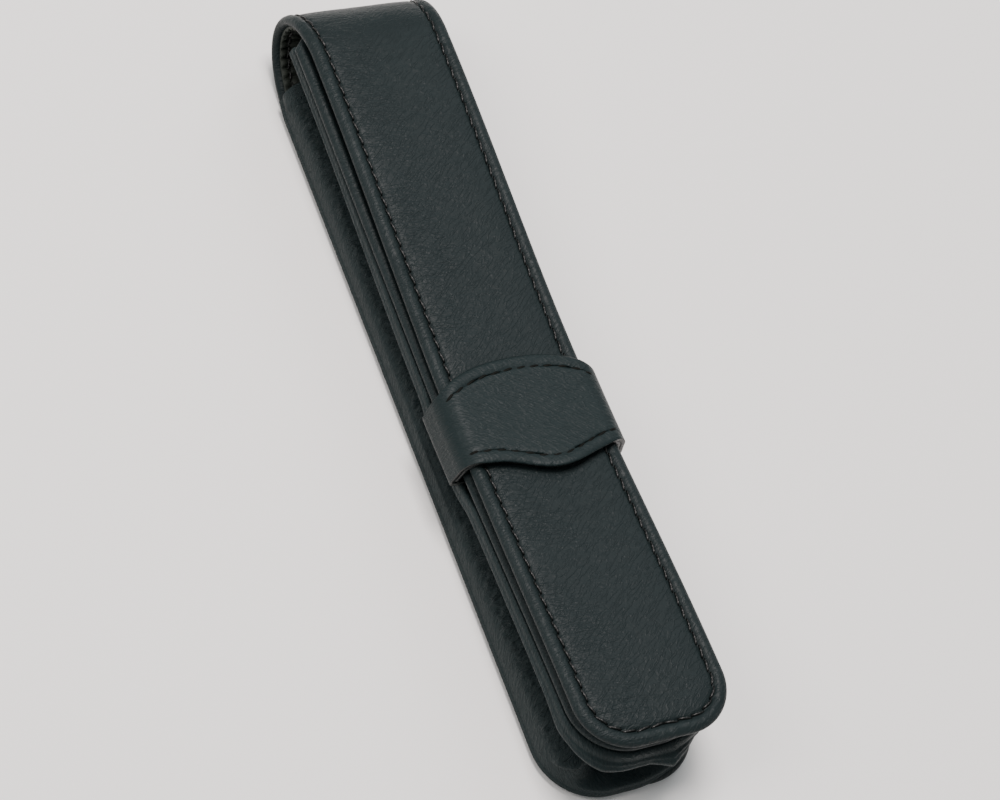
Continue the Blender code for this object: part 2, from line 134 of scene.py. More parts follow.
def link_mesh(name, points, faces, mat):
    """A smooth-shaded mesh object in the scene."""
    mesh = bpy.data.meshes.new(name)
    mesh.from_pydata([tuple(p) for p in points], [], faces)
    mesh.materials.append(mat)
    mesh.shade_smooth()
    obj = bpy.data.objects.new(name, mesh)
    bpy.context.scene.collection.objects.link(obj)
    return obj


# Matt white laminate: an even pale ground with soft shadows and no reflections
white_laminate, tree, shader = new_material("matt_white_laminate")
set_inputs(tree, shader, {"Base Color": linear("F4F4F2"), "Roughness": 0.8})
TABLE_HALF = 3.0
TABLE_GAP = 0.2 * MM
corners = [(x * TABLE_HALF, y * TABLE_HALF, 0) for x, y in ((-1, -1), (1, -1), (1, 1), (-1, 1))]
table = link_mesh("table_top", corners, [(0, 1, 2, 3)], white_laminate)
table.location.z = -TABLE_GAP


def softbox(name, place, size, watts, tint):
    """A rectangular soft light aimed at the middle of the case."""
    data = bpy.data.lights.new(name, "AREA")
    data.color = linear(tint)[:3]
    data.shape = "RECTANGLE"
    data.size, data.size_y = size
    data.energy = watts
    light = bpy.data.objects.new(name, data)
    light.location = place
    light.rotation_mode = "QUATERNION"
    light.rotation_quaternion = (Vector((0, 0, 0)) - Vector(place)).to_track_quat("-Z", "Y")
    bpy.context.scene.collection.objects.link(light)


softbox("key_above", (-0.04, 0.20, 1.00), (0.34, 0.42), 14.4, "FFF6F4")
softbox("window_left", (-0.75, 0.10, 0.85), (0.35, 0.5), 4.4, "FFF8F5")
softbox("fill_right", (0.7, 0.6, 0.8), (0.6, 0.6), 2.6, "F6FBFF")
world = bpy.data.worlds.new("room")
bpy.context.scene.world = world
world.use_nodes = True
walls = world.node_tree.nodes["Background"]
set_inputs(world.node_tree, walls, {"Color": linear("F2F4F6"), "Strength": 0.42})


# ==== The strap's run ====
# Back panel, fold and flap are one strip of calf leather with its edges turned in. Places
# on it are given by x across it and s along its outside, from the back's rounded end over
# the fold to the flap's tip, with a depth in from the outside.
BACK_LOW, BACK_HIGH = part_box("back_leather")
FLAP_LOW, FLAP_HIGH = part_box("flap_leather")
HALF_LENGTH = -BACK_LOW.y
EDGE_SPREAD = 0.1 * MM            # a pressed edge spreads a little past its board
BACK_HALF = BACK_HIGH.x + EDGE_SPREAD
FLAP_HALF = 15.2 * MM
FLAP_END_HALF = 15.9 * MM         # the flap widens again towards its tip
WIDENS_FROM = 105 * MM            # where that starts, back from the tip
WIDENS_OVER = 80 * MM
BACK_CORNER = 12.0 * MM
FLAP_CORNER = 10.5 * MM
FOLD_REACH = 13.6 * MM
FOLD_HEIGHT = 22.3 * MM
FOLD_RISE = FOLD_HEIGHT / 2
FOLD_Y = HALF_LENGTH - FOLD_REACH
SAG_HEIGHT = 19.45 * MM
SAG_Y = -2.0 * MM
SAG_START = 71.0 * MM
TIP_HEIGHT = FLAP_HIGH.z
STRAP_THICK = 2.8 * MM
TURNED = 2.1 * MM                 # a turned edge: two layers of leather
FOLD_BULGE = 0.9 * MM             # the fold's leather stands a little proud of its boards
FOLD_SKEW = 0.45 * MM             # and was folded slightly out of square
SEAM_INSET = 2.95 * MM
STITCH_PITCH = 2.9 * MM
ROWS_PER_STITCH = 6


def run_along(across, along):
    """How far along a line each of its points is."""
    return np.concatenate([[0], np.cumsum(np.hypot(np.diff(across), np.diff(along)))])


BACK_RUN = FOLD_Y + HALF_LENGTH
turn_steps = np.linspace(0, math.pi, 400)
arc_y = FOLD_REACH * np.sin(turn_steps)
arc_z = FOLD_RISE - FOLD_RISE * np.cos(turn_steps)
arc_run = run_along(arc_y, arc_z)
FOLD_RUN = float(arc_run[-1])
STRAP_RUN = BACK_RUN + FOLD_RUN + FOLD_Y - FLAP_LOW.y


def smooth(value):
    """An S-shaped ramp from 0 to 1."""
    value = np.clip(value, 0.0, 1.0)
    return value * value * (3 - 2 * value)


def flap_height(y):
    """Height of the flap's outside: it sags under the keeper and lifts towards its tip."""
    up = SAG_HEIGHT + (FOLD_HEIGHT - SAG_HEIGHT) * smooth((y - SAG_Y) / (SAG_START - SAG_Y))
    down = SAG_HEIGHT + (TIP_HEIGHT - SAG_HEIGHT) * smooth((SAG_Y - y) / (SAG_Y + HALF_LENGTH))
    return np.where(y > SAG_Y, up, down)


def strap_place(x, s, depth):
    """Points of the strap as an array of x, y, z."""
    x, s, depth = np.broadcast_arrays(x, s, depth)
    turn = np.interp(s - BACK_RUN, arc_run, turn_steps)
    y = FOLD_Y + (FOLD_REACH - depth) * np.sin(turn)
    z = FOLD_RISE - (FOLD_RISE - depth) * np.cos(turn)
    y = y + np.sin(turn) * (FOLD_BULGE - FOLD_SKEW * x / BACK_HALF)
    y_flap = FOLD_Y - (s - BACK_RUN - FOLD_RUN)
    on_back = s < BACK_RUN
    on_flap = s > BACK_RUN + FOLD_RUN
    y = np.where(on_back, s - HALF_LENGTH, np.where(on_flap, y_flap, y))
    z = np.where(on_back, depth, np.where(on_flap, flap_height(y_flap) - depth, z))
    return np.stack([x, y, z], axis=-1)


def strap_half(s):
    """Half the strap's width: it narrows round the fold and widens to the flap's tip."""
    share = np.clip((s - BACK_RUN) / FOLD_RUN, 0, 1)
    wider = smooth((s - STRAP_RUN + WIDENS_FROM) / WIDENS_OVER)
    return BACK_HALF + (FLAP_HALF - BACK_HALF) * share + (FLAP_END_HALF - FLAP_HALF) * wider


def end_samples(half, corner):
    """The left half of a rounded end, from its middle to the side: x, along, inward normal."""
    flat = np.linspace(0, 1, 60)[:-1]
    angle = np.linspace(0, math.pi / 2, 400)
    x = np.concatenate([-(half - corner) * flat, -(half - corner) - corner * np.sin(angle)])
    along = np.concatenate([np.zeros_like(flat), corner - corner * np.cos(angle)])
    in_x = np.concatenate([np.zeros_like(flat), np.sin(angle)])
    in_along = np.concatenate([np.ones_like(flat), np.cos(angle)])
    return x, along, in_x, in_along


def rim_rows(start, side, halves, end, run):
    """The left rim from one rounded end, along the side, to the other end.

    Its rows are evenly spaced along the seam, a whole number of stitches from end to end.
    """
    x = np.concatenate([start[0], -halves, end[0][::-1]])
    along = np.concatenate([start[1], side, run - end[1][::-1]])
    in_x = np.concatenate([start[2], np.ones_like(side), end[2][::-1]])
    in_along = np.concatenate([start[3], np.zeros_like(side), -end[3][::-1]])
    seam_x = x + in_x * SEAM_INSET
    seam_along = along + in_along * SEAM_INSET
    seam_run = run_along(seam_x, seam_along)
    stitch_count = max(1, round(seam_run[-1] / STITCH_PITCH))
    rows = np.linspace(0, seam_run[-1], stitch_count * ROWS_PER_STITCH + 1)
    picked = [np.interp(rows, seam_run, values) for values in (x, along, in_x, in_along)]
    size = np.hypot(picked[2], picked[3])
    return picked[0], picked[1], picked[2] / size, picked[3] / size


side_s = np.linspace(BACK_CORNER, STRAP_RUN - FLAP_CORNER, 900)[1:-1]
strap_rims = rim_rows(
    end_samples(BACK_HALF, BACK_CORNER), side_s, strap_half(side_s),
    end_samples(FLAP_END_HALF, FLAP_CORNER), STRAP_RUN,
)

# The fold bends on the hinge lines of the frame. Each visible piece spans one of them, from
# the middle of one stiff part to the middle of the next.
hinges = frame["joints"]
hinge_turns = [
    math.atan2((j["pos_m"][1] - FOLD_Y) / FOLD_REACH, (FOLD_RISE - j["pos_m"][2]) / FOLD_RISE)
    for j in hinges
]
first_cut = hinge_turns[0] - (hinge_turns[1] - hinge_turns[0]) / 2
cut_turns = [first_cut]
cut_turns += [(a + b) / 2 for a, b in zip(hinge_turns, hinge_turns[1:])]
cut_turns.append(math.pi - first_cut)
cut_rows = [
    int(np.argmin(np.abs(strap_rims[1] - BACK_RUN - np.interp(turn, turn_steps, arc_run))))
    for turn in cut_turns
]
LAST_ROW = len(strap_rims[0]) - 1
# Each part's name, first and last row, and the body or two bodies that it rides on
strap_parts = [("back", 0, cut_rows[0], "case", None)]
for number, joint in enumerate(hinges):
    rows = cut_rows[number], cut_rows[number + 1]
    strap_parts.append((f"bend_{number + 1}", *rows, joint["parent"], joint["child"]))
strap_parts.append(("flap", cut_rows[-1], LAST_ROW, "flap", None))


def hold(piece, first_row, last_row, body, next_body):
    """Ride on one body; a piece between two bodies is only baked in place, left unparented and not bent.
    """
    if next_body is None:
        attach(piece, body)
        return
    ends = [Vector(strap_place(0.0, strap_rims[1][row], STRAP_THICK / 2)) for row in (first_row, last_row)]
    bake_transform(piece)


# ==== Black calf leather ====
# Chrome-tanned calf, drum-dyed black with a blue-grey cast, its fine grain milled soft.
# Handling has raised short folds across it, most along the left seam, and a few long thin
# ones on the slant; a thin finish makes each fold glint.
PORES_PER_MM = 4.5
CLOUDS_PER_MM = 0.12
PATCHINESS = 0.06
PLAN_MAP = "plan"


def set_plan(obj, plan):
    """Give each vertex its place on the flat leather, in mm, as a UV map."""
    layer = obj.data.uv_layers.new(name=PLAN_MAP)
    loops = np.zeros(len(obj.data.loops), np.int32)
    obj.data.loops.foreach_get("vertex_index", loops)
    layer.uv.foreach_set("vector", np.asarray(plan, np.float32)[loops].ravel())


def set_wear(obj, wear, flex):
    """Store how much each vertex has been rubbed and flexed, from 0 to 1."""
    for name, values in (("wear", wear), ("flex", flex)):
        attribute = obj.data.attributes.new(name, "FLOAT", "POINT")
        values = np.broadcast_to(np.asarray(values, np.float32), len(obj.data.vertices))
        attribute.data.foreach_set("value", np.ascontiguousarray(values))


def leather(name, tone, worn_tone, grain, relief, wrinkle, roughness, gloss):
    """A grained leather.

    grain is the pebbles' width, relief their height and wrinkle the height of the folds
    that flexing raises, all in mm; gloss is the strength of the finish's reflection.
    """
    mat, tree, shader = new_material(name)
    plan = add_node(tree, "UVMap", uv_map=PLAN_MAP).outputs["UV"]
    flex = add_node(tree, "Attribute", attribute_name="flex").outputs["Fac"]
    wear = add_node(tree, "Attribute", attribute_name="wear").outputs["Fac"]
    wobble = add_node(tree, "TexNoise", {"Vector": plan, "Scale": 0.8 / grain, "Detail": 2.0})
    shifted = add_node(tree, "VectorMath", {
        0: wobble.outputs["Color"], 1: (0.9 * grain,) * 3, 2: plan}, operation="MULTIPLY_ADD")
    pebble = add_node(tree, "TexVoronoi", {
        "Vector": shifted.outputs[0], "Scale": 1.0 / grain, "Smoothness": 0.35}, feature="SMOOTH_F1")
    pores = add_node(tree, "TexNoise", {
        "Vector": plan, "Scale": PORES_PER_MM, "Detail": 3.0, "Roughness": 0.6})

    def folds(turn, along, across, sharpness):
        """Long ridges where a noise stretched along and across, in mm, crosses its middle."""
        turned = add_node(tree, "Mapping", {
            "Vector": plan, "Rotation": (0.0, 0.0, math.radians(turn))}, vector_type="TEXTURE")
        stretched = add_node(tree, "VectorMath", {
            0: turned.outputs[0], 1: (1.0 / along, 1.0 / across, 1.0)}, operation="MULTIPLY")
        swell = add_node(tree, "TexNoise", {
            "Vector": stretched.outputs[0], "Scale": 1.0, "Detail": 2.5, "Roughness": 0.55,
            "Distortion": 0.35})
        off = add_node(tree, "Math", {0: swell.outputs["Fac"], 1: 0.5}, operation="SUBTRACT")
        away = add_node(tree, "Math", {0: off.outputs[0]}, operation="ABSOLUTE")
        ridge = {"Value": away.outputs[0], "From Max": sharpness, "To Min": 1.0, "To Max": 0.0}
        return add_node(tree, "MapRange", ridge, interpolation_type="SMOOTHSTEP").outputs[0]

    crossing = add_node(tree, "Math", {0: folds(4, 3.6, 0.95, 0.14), 1: flex}, operation="MULTIPLY")
    # Height in mm: pebbles and pores, with the folds standing over them
    layers = (
        (pebble.outputs["Distance"], -1.6 * relief),
        (pores.outputs["Fac"], 0.7 * relief),
        (crossing.outputs[0], wrinkle),
        (folds(-38, 3.8, 1.05, 0.085), 0.65 * wrinkle),
    )
    high = 0.0
    for layer, amount in layers:
        added = {0: layer, 1: amount, 2: high}
        high = add_node(tree, "Math", added, operation="MULTIPLY_ADD").outputs[0]
    bump = add_node(tree, "Bump", {"Height": high, "Distance": MM, "Strength": 1.0})
    # Colour: the dye is a little lighter where the leather is rubbed or stretched
    cloud = add_node(tree, "TexNoise", {"Vector": plan, "Scale": CLOUDS_PER_MM, "Detail": 4.0})
    rub = add_node(tree, "Math", {0: wear, 1: cloud.outputs["Fac"]}, operation="MULTIPLY")
    rub = add_node(tree, "Math", {0: cloud.outputs["Fac"], 1: 0.35, 2: rub.outputs[0]},
                   operation="MULTIPLY_ADD", use_clamp=True)
    colour = add_node(tree, "Mix", {0: rub.outputs[0], 6: linear(tone), 7: linear(worn_tone)},
                      data_type="RGBA")
    patchy = add_node(tree, "MapRange", {
        "Value": pores.outputs["Fac"], "From Min": 0.3, "From Max": 0.7,
        "To Min": roughness - PATCHINESS, "To Max": roughness + PATCHINESS})
    set_inputs(tree, shader, {
        "Base Color": colour.outputs[2], "Roughness": patchy.outputs[0], "IOR": 1.48,
        "Specular IOR Level": gloss, "Normal": bump.outputs[0]})
    return mat


strap_calf = leather("pebbled_black_calf", "171F20", "1D2627", 0.50, 0.014, 0.068, 0.43, 0.13)


# ==== The strap's outer leather ====
# Calf pared to 1 mm, its edge turned in 5 mm over a board and pressed, so that a rounded
# welt stands outside the seam and the leather dips along the stitches.
HEM_WIDTH = 5.0 * MM
SKIN = 0.8 * MM
WELT = 1.3 * MM
SEAM_DIP = 0.36 * MM
WELT_CREST = 0.16 * MM
CREST_INSET = 1.55 * MM
HOLE_DIP = 0.34 * MM
SCALLOP = 0.04 * MM               # the welt rises and falls with the stitches
SCALLOP_INSET = 1.9 * MM
PUFF = 0.14 * MM                  # the leather stands proud of its board inside the seam
PUFF_INSET = 3.2 * MM
PUFF_RISE = 4.0 * MM
FLAT_WEAR = 0.12
INNER_COLUMNS = 22


def seam_dip(inset):
    """How far the leather dips at a distance in from the edge, drawn down by the seam."""
    return SEAM_DIP * np.exp(-((inset - SEAM_INSET) / (0.55 * MM)) ** 2)


def turned_rings(hem):
    """The turned edge from the hem's inner edge, round the outside, to as far in on top.

    Each ring is its inset, its depth and its place on the flat leather.
    """
    rings = [(hem, TURNED), (0.6 * hem, TURNED), (0.45 * hem, TURNED)]
    for step in range(13):
        angle = -math.pi / 2 + math.pi * step / 12
        rings.append((WELT - WELT * math.cos(angle), TURNED / 2 - TURNED / 2 * math.sin(angle)))
    for inset_mm in (1.6, 1.9, 2.15, 2.35, 2.55, 2.7, 2.85, 3.0, 3.15, 3.35, 3.6, 3.9):
        if inset_mm * MM < hem - 0.04 * MM:
            rings.append((inset_mm * MM, 0.0))
    rings.append((hem, 0.0))
    inset = np.array([ring[0] for ring in rings])
    depth = np.array([ring[1] for ring in rings])
    run = run_along(inset, depth)
    return inset, depth, run - run[-1] + hem


def hand_noise(x, s, scale, seed=0.0):
    """Smooth noise from -1 to 1 over the flat leather; scale is in mm."""
    flat = np.stack([np.ravel(x), np.ravel(s)], axis=-1) / (scale * MM)
    values = [noise.noise((a, b, seed)) for a, b in flat]
    return np.reshape(values, np.shape(x))


def calf_relief(x, s):
    """Shallow swells and long creases that the grain runs over, in metres outwards."""
    swell = 0.07 * hand_noise(x, s, 13.0, 3.0) + 0.035 * hand_noise(x + 0.6 * s, s, 5.0, 8.0)
    crossing = hand_noise(x + 0.5 * s, 1.7 * (s - 0.5 * x), 7.0, 21.0)
    crease = -0.05 * np.exp(-(crossing / 0.10) ** 2)
    return MM * (swell + crease)


def flexed(x, s):
    """How much the leather has been flexed: most along its left side, in patches."""
    left = smooth((1.5 * MM - x) / (9 * MM))
    patches = smooth(0.55 + 0.9 * hand_noise(x, s, 11.0, 17.0))
    return np.clip(0.10 + 0.9 * left * patches + 0.25 * patches, 0, 1)


def panel(name, rims, place, mat, rings, relief_at, crest=WELT_CREST, puff=PUFF, first_phase=0,
          rounded_start=False, rounded_end=False, thickness=SKIN):
    """A stitched panel of leather: rings round its rim and a grid of rows inside them.

    rims are the left half's rim points, from the middle of a rounded start or the left
    corner of a cut one, and the right half mirrors them.
    """
    x, along, in_x, in_along = rims
    inset, depth, flat = rings
    count = len(x)
    width = len(inset)
    phase = (np.arange(count) + first_phase) / ROWS_PER_STITCH
    mirror = slice(None, None, -1)
    loop = np.concatenate([
        np.stack([x, along, in_x, in_along, phase]),
        np.stack([-x, along, -in_x, in_along, phase])[:, mirror],
    ], axis=1)
    keep = np.ones(2 * count, bool)
    keep[count] = not rounded_end
    keep[2 * count - 1] = not rounded_start
    index = np.where(keep)[0]
    loop_x, loop_a, loop_nx, loop_na, loop_phase = loop[:, index]
    new_place = {old: new for new, old in enumerate(index)}

    def right_of(row):
        return new_place.get(2 * count - 1 - row, row)

    grid_x = loop_x[:, None] + loop_nx[:, None] * inset[None, :]
    grid_a = loop_a[:, None] + loop_na[:, None] * inset[None, :]
    on_top = (np.arange(width) > np.argmin(inset)).astype(float)
    lift = smooth((inset - 0.3 * MM) / (2.0 * MM)) * relief_at(grid_x, grid_a)
    lift = lift + puff * smooth((inset - PUFF_INSET) / PUFF_RISE)
    lift = lift + crest * np.exp(-((inset - CREST_INSET) / (0.75 * MM)) ** 2)
    to_hole = np.abs(loop_phase - np.round(loop_phase))
    pulled = np.exp(-(to_hole / 0.13) ** 2)[:, None]
    pulled = pulled * np.exp(-((inset - SEAM_INSET) / (0.28 * MM)) ** 2)
    scallop = np.cos(2 * math.pi * loop_phase)[:, None]
    scallop = scallop * np.exp(-((inset - SCALLOP_INSET) / (0.8 * MM)) ** 2)
    lift = lift - seam_dip(inset) - HOLE_DIP * pulled - SCALLOP * scallop
    points = place(grid_x, grid_a, depth - on_top * lift).reshape(-1, 3)
    plan_x = loop_x[:, None] + loop_nx[:, None] * flat[None, :]
    plan_a = loop_a[:, None] + loop_na[:, None] * flat[None, :]
    rub = np.exp(-((depth - 0.35 * MM) / (0.45 * MM)) ** 2) * np.where(inset < 2.0 * MM, 1.0, 0.15)
    wear = np.broadcast_to(rub, grid_x.shape).reshape(-1)

    faces = []
    for row in range(len(index)):
        if row == count - 1 and not rounded_end or row == len(index) - 1 and not rounded_start:
            continue
        after = (row + 1) % len(index)
        for ring in range(width - 1):
            faces.append((row * width + ring, after * width + ring,
                          after * width + ring + 1, row * width + ring + 1))

    # Inside the rings, rows run across; at a rounded end they start from its flat middle
    straight = np.abs(in_x) < 0.02
    first = int(np.sum(straight & (in_along > 0))) - 1 if rounded_start else 0
    last = count - int(np.sum(straight & (in_along < 0))) if rounded_end else count - 1
    columns = INNER_COLUMNS
    start_edge = list(range(first, -1, -1)) + [right_of(row) for row in range(1, first + 1)]
    end_edge = list(range(last, count)) + [right_of(row) for row in range(count - 2, last - 1, -1)]
    if rounded_end:
        columns = len(end_edge) - 1
    elif rounded_start:
        columns = len(start_edge) - 1
    new_points, new_plan, table = [], [], []
    for row in range(first, last + 1):
        if rounded_end and row == last:
            table.append([edge * width + width - 1 for edge in end_edge])
            continue
        if rounded_start and row == first:
            spaces = len(start_edge) - 1
            picked = [start_edge[round(at * spaces / columns)] for at in range(columns + 1)]
            table.append([edge * width + width - 1 for edge in picked])
            continue
        left, right = row * width + width - 1, right_of(row) * width + width - 1
        left_x, right_x = plan_x[row, -1], plan_x[right_of(row), -1]
        across = left_x + (right_x - left_x) * np.arange(1, columns) / columns
        level = np.full(columns - 1, plan_a[row, -1])
        edge_gap = np.minimum(across - left_x, right_x - across)
        if rounded_end:
            edge_gap = np.minimum(edge_gap, along[-1] - inset[-1] - level)
        if rounded_start:
            edge_gap = np.minimum(edge_gap, level - along[0] - inset[-1])
        high = puff * smooth((edge_gap + inset[-1] - PUFF_INSET) / PUFF_RISE)
        high = relief_at(across, level) + high
        new_at = len(points) + len(new_points)
        new_points += list(place(across, level, depth[-1] - high))
        new_plan += list(np.stack([across, level], axis=-1))
        table.append([left] + list(range(new_at, new_at + columns - 1)) + [right])
    for near, far in zip(table, table[1:]):
        for column in range(columns):
            corners = (near[column], far[column], far[column + 1], near[column + 1])
            if len(set(corners)) > 2:
                faces.append(tuple(dict.fromkeys(corners)))
    plan = np.stack([plan_x, plan_a], axis=-1).reshape(-1, 2)
    if new_points:
        points = np.concatenate([points, np.array(new_points)])
        plan = np.concatenate([plan, np.array(new_plan)])
        wear = np.concatenate([wear, np.full(len(new_points), FLAT_WEAR)])
    obj = link_mesh(name, points, faces, mat)
    face_out(obj, place, rims)
    set_plan(obj, plan / MM)
    set_wear(obj, wear, flexed(plan[:, 0], plan[:, 1]))
    thicken(obj, thickness)
    return obj


def face_out(obj, place, rims):
    """Turn all faces over if the panel's face looks into the case."""
    obj.data.update()
    middle = len(rims[0]) // 2
    spot = Vector(place(0.0, rims[1][middle], 0.0))
    out = Vector(place(0.0, rims[1][middle], -MM)) - spot
    nearest = min(obj.data.polygons, key=lambda face: (face.center - spot).length_squared)
    if nearest.normal.dot(out) < 0:
        obj.data.flip_normals()


def thicken(obj, thickness):
    """Give an open surface its thickness on the inside, with crisp cut edges."""
    edges = np.zeros(len(obj.data.loops), np.int32)
    obj.data.loops.foreach_get("edge_index", edges)
    on_border = np.bincount(edges, minlength=len(obj.data.edges)) == 1
    obj.data.edges.foreach_set("use_edge_sharp", on_border)
    solidify = obj.modifiers.new("thickness", "SOLIDIFY")
    solidify.thickness = thickness
    solidify.offset = -1.0
    solidify.use_even_offset = False


strap_rings = turned_rings(HEM_WIDTH)
# The node that each part stands for; the fourth bend has none of its own
strap_nodes = {
    "back": "back_{}",
    "bend_1": "fold_{}_1",
    "bend_2": "fold_{}_2",
    "bend_3": "fold_{}_3",
    "bend_4": None,
    "flap": "flap_{}",
}


def part_rims(first_row, last_row):
    """The strap's rim between two rows."""
    return tuple(values[first_row:last_row + 1] for values in strap_rims)


for part, first_row, last_row, body, next_body in strap_parts:
    skin = panel(
        f"strap_leather_{part}", part_rims(first_row, last_row), strap_place, strap_calf,
        strap_rings, calf_relief, first_phase=first_row,
        rounded_start=part == "back", rounded_end=part == "flap",
    )
    hold(skin, first_row, last_row, body, next_body)
    if strap_nodes[part]:
        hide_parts(strap_nodes[part].format("leather"))


# ==== The strap's lining ====
# A thin lining leather, glued over the turned hems a little inside the edge. It was glued
# flat, so the tight side of the fold has gathered it into ridges across the bend.
LINING_INSET = 1.25 * MM
LINING_THICK = 0.6 * MM
LINING_SKIN = 0.45 * MM
RIDGE_PITCH = 2.3 * MM
RIDGE_HIGH = 0.95
RIDGE_SUNK = 0.62


def lining_place(x, s, depth):
    """Places on the strap's inside, with depth from the lining's face towards the leather."""
    return strap_place(x, s, STRAP_THICK - depth)


def lining_relief(x, s):
    """Ridges across the tight side of the fold, which fade out on the back and the flap."""
    turn = (s - BACK_RUN) / FOLD_RUN
    tight = smooth(turn / 0.15) * smooth((1.02 - turn) / 0.15)
    wander = 0.7 * MM * hand_noise(x, s, 3.0, 5.0)
    ridge = np.abs(np.sin(math.pi * (s + wander) / RIDGE_PITCH))
    fade = smooth((BACK_HALF - LINING_INSET - np.abs(x)) / (0.5 * MM))
    gathered = tight * fade * (RIDGE_HIGH * ridge - RIDGE_SUNK)
    return MM * (gathered + 0.03 * hand_noise(x, s, 6.0, 2.0))


def lining_rings():
    """The lining's rim: its cut edge and the first few millimetres of its face."""
    steps = ((0.0, LINING_THICK), (0.0, 0.2 * MM), (0.08 * MM, 0.05 * MM), (0.25 * MM, 0.0))
    face = [inset_mm * MM for inset_mm in (1.9, 2.3, 2.6, 2.85, 3.1, 3.5, 4.2)] + [HEM_WIDTH]
    inset = np.array([LINING_INSET + step for step, _ in steps] + face)
    depth = np.array([depth for _, depth in steps] + [0.0] * len(face))
    return inset, depth, inset


# Smooth calf split, dyed a warmer black and left dull: it takes the light evenly
lining_calf = leather("smooth_lining_leather", "262A26", "2E332F", 0.6, 0.020, 0.03, 0.5, 0.14)
for part, first_row, last_row, body, next_body in strap_parts:
    lining = panel(
        f"strap_lining_{part}", part_rims(first_row, last_row), lining_place, lining_calf,
        lining_rings(), lining_relief, crest=0.0, puff=0.0, first_phase=first_row,
        rounded_start=part == "back", rounded_end=part == "flap", thickness=LINING_SKIN,
    )
    hold(lining, first_row, last_row, body, next_body)
    if strap_nodes[part]:
        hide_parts(strap_nodes[part].format("lining"))


# ==== Stitching ====
# A lockstitch of waxed polyester thread, near black, 2.9 mm from hole to hole. Each stitch
# stands proud in its middle and dives into a hole at both ends, a little aslant.
THREAD_RADIUS = 0.20 * MM
STITCH_HIGH = 0.04 * MM
STITCH_LOW = 0.62 * MM
SLANT = 0.25 * MM
DRIFT_MM = 0.06                   # no two stitches sit quite alike
SETTLE_MM = 0.03
HOLE_SHARE = 0.03                 # of a stitch, lost in the hole at each end
THREAD_SIDES = 8
STITCH_RINGS = 9

# Twisted polyester with a coat of wax: a satin glint on each twist of the plies
waxed_thread, tree, shader = new_material("waxed_black_thread")
plan = add_node(tree, "UVMap", uv_map=PLAN_MAP).outputs["UV"]
ply = add_node(tree, "TexWave", {"Vector": plan, "Scale": 0.9, "Distortion": 0.4},
               bands_direction="DIAGONAL")
fibre = add_node(tree, "Bump", {
    "Height": ply.outputs["Fac"], "Distance": 0.05 * MM, "Strength": 0.8})
set_inputs(tree, shader, {
    "Base Color": linear("080B0A"), "Roughness": 0.42, "IOR": 1.53, "Specular IOR Level": 0.36,
    "Normal": fibre.outputs[0]})


def stitches(name, runs, place, inset, high=STITCH_HIGH, low=STITCH_LOW, radius=THREAD_RADIUS):
    """Stitches as one mesh; each run is rim arrays, a side of 1 or -1, and first holes."""
    points, faces, plan = [], [], []
    for rims, side, starts in runs:
        rows = np.arange(len(rims[0]))
        for start in starts:
            share = np.linspace(HOLE_SHARE, 1 - HOLE_SHARE, STITCH_RINGS)
            at = start + share * ROWS_PER_STITCH
            x, along, in_x, in_along = (np.interp(at, rows, values) for values in rims)
            drift = random.uniform(-DRIFT_MM, DRIFT_MM) * MM
            reach = inset + drift + SLANT * (2 * share - 1)
            arch = np.sin(math.pi * share) ** 0.5
            level = low - (low - high) * arch + random.uniform(-SETTLE_MM, SETTLE_MM) * MM
            centre = place(side * (x + in_x * reach), along + in_along * reach, level)
            above = place(side * (x + in_x * reach), along + in_along * reach, level - MM)
            up = (above - centre) / MM
            tangent = np.gradient(centre, axis=0)
            tangent /= np.linalg.norm(tangent, axis=1)[:, None]
            across = np.cross(tangent, up)
            across /= np.linalg.norm(across, axis=1)[:, None]
            up = np.cross(across, tangent)
            swell = radius * (0.86 + 0.22 * arch)
            first = len(points)
            for ring in range(STITCH_RINGS):
                for corner in range(THREAD_SIDES):
                    angle = 2 * math.pi * corner / THREAD_SIDES
                    offset = across[ring] * math.cos(angle) * 1.1 + up[ring] * math.sin(angle) * 0.9
                    points.append(centre[ring] + offset * swell[ring])
                    plan.append((share[ring] * STITCH_PITCH / MM, corner * 0.2))
            for ring in range(STITCH_RINGS - 1):
                for corner in range(THREAD_SIDES):
                    near = first + ring * THREAD_SIDES
                    after = (corner + 1) % THREAD_SIDES
                    faces.append((near + corner, near + after,
                                  near + THREAD_SIDES + after, near + THREAD_SIDES + corner))
            faces.append(tuple(first + corner for corner in reversed(range(THREAD_SIDES))))
            last_ring = first + (STITCH_RINGS - 1) * THREAD_SIDES
            faces.append(tuple(last_ring + corner for corner in range(THREAD_SIDES)))
    obj = link_mesh(name, points, faces, waxed_thread)
    set_plan(obj, np.array(plan))
    return obj


random.seed(7)
for part, first_row, last_row, body, next_body in strap_parts:
    first_hole = math.ceil((first_row - ROWS_PER_STITCH / 2) / ROWS_PER_STITCH) * ROWS_PER_STITCH
    starts = [hole for hole in range(max(0, first_hole), LAST_ROW, ROWS_PER_STITCH)
              if first_row <= hole + ROWS_PER_STITCH / 2 < last_row]
    runs = [(strap_rims, side, starts) for side in (1, -1)]
    outer = stitches(f"strap_stitches_{part}", runs, strap_place, SEAM_INSET)
    hold(outer, first_row, last_row, body, next_body)
    if part == "back":
        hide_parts("back_thread")
    if part == "flap":
        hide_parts("flap_thread")
    inner = stitches(f"strap_bobbin_{part}", runs, lining_place, SEAM_INSET,
                     high=0.02 * MM, low=0.5 * MM)
    hold(inner, first_row, last_row, body, next_body)


